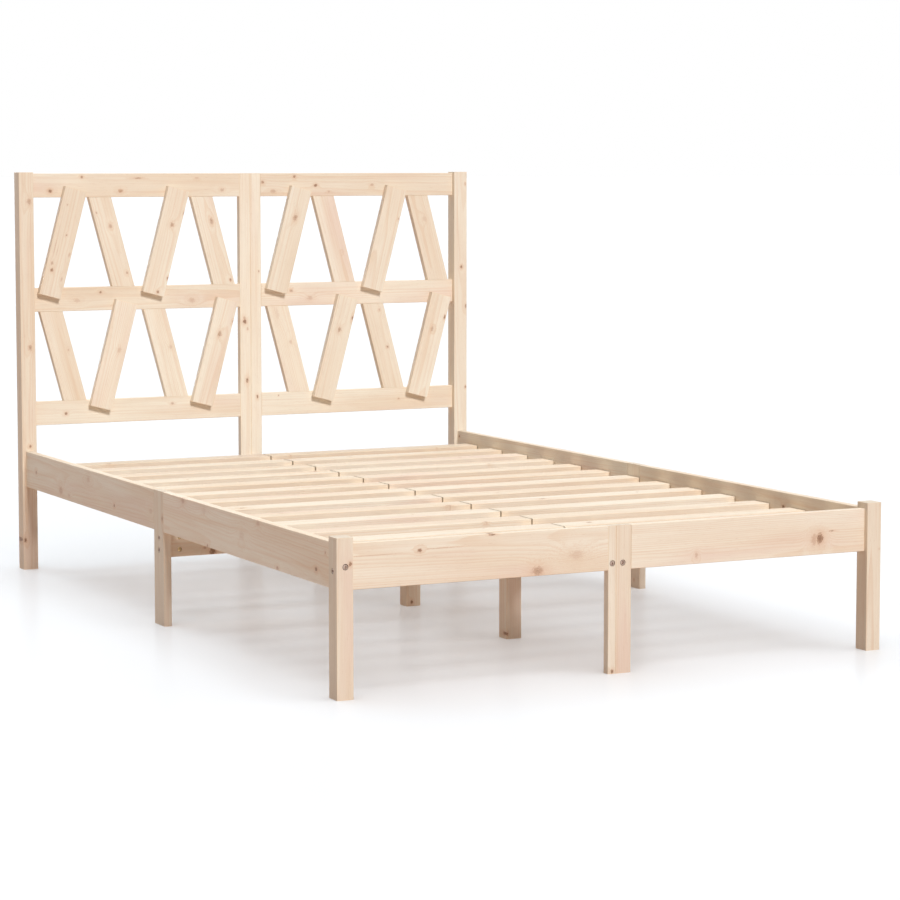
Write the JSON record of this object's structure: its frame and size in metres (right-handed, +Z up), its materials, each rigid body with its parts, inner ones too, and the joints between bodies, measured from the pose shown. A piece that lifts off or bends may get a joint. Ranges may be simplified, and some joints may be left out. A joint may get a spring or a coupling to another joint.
{
  "type": "bed frame",
  "caption": "Slatted pine bed frame with a low rail frame on square legs and an open headboard filled with slanting boards in two rows.",
  "frame": {"origin": "on the floor under the middle of the bed", "axes": "+X to the right seen from the foot, +Y from the foot to the headboard, +Z up"},
  "size_m": [1.255, 1.955, 1],
  "materials": {
    "frame_pine": "planed clear pine, unpainted, satin",
    "slat_pine": "planed pine slats, unfinished",
    "dowel_wood": "turned hardwood dowels",
    "zinc_steel": "zinc plated steel fasteners",
    "tape": "woven cotton tape"
  },
  "bodies": {
    "root": {"barrel_nuts": "zinc_steel", "bolt_plug": "frame_pine", "centre_beam_left": "frame_pine", "centre_beam_right": "frame_pine", "centre_bolts": "zinc_steel", "centre_leg_back": "frame_pine", "centre_leg_front": "frame_pine", "centre_leg_middle": "frame_pine", "corner_bolts": "zinc_steel", "cross_beam": "frame_pine", "dowels": "dowel_wood", "foot_leg_left": "frame_pine", "foot_leg_right": "frame_pine", "foot_post_left": "frame_pine", "foot_post_right": "frame_pine", "foot_rail_left": "frame_pine", "foot_rail_right": "frame_pine", "head_post_left": "frame_pine", "head_post_right": "frame_pine", "head_rail_low_left": "frame_pine", "head_rail_low_right": "frame_pine", "head_rail_mid_left": "frame_pine", "head_rail_mid_right": "frame_pine", "head_rail_top_left": "frame_pine", "head_rail_top_right": "frame_pine", "head_stile_left": "frame_pine", "head_stile_right": "frame_pine", "ledger_left_back": "frame_pine", "ledger_left_front": "frame_pine", "ledger_right_back": "frame_pine", "ledger_right_front": "frame_pine", "lower_brace_1": "frame_pine", "lower_brace_2": "frame_pine", "lower_brace_3": "frame_pine", "lower_brace_4": "frame_pine", "lower_brace_5": "frame_pine", "lower_brace_6": "frame_pine", "lower_brace_7": "frame_pine", "lower_brace_8": "frame_pine", "side_leg_bolts": "zinc_steel", "side_leg_left": "frame_pine", "side_leg_right": "frame_pine", "side_rail_left_back": "frame_pine", "side_rail_left_front": "frame_pine", "side_rail_right_back": "frame_pine", "side_rail_right_front": "frame_pine", "slat_tapes": "tape", "slats_left": "slat_pine", "slats_right": "slat_pine", "upper_brace_1": "frame_pine", "upper_brace_2": "frame_pine", "upper_brace_3": "frame_pine", "upper_brace_4": "frame_pine", "upper_brace_5": "frame_pine", "upper_brace_6": "frame_pine", "upper_brace_7": "frame_pine", "upper_brace_8": "frame_pine", "wood_screws": "zinc_steel"}
  },
  "joints": []
}
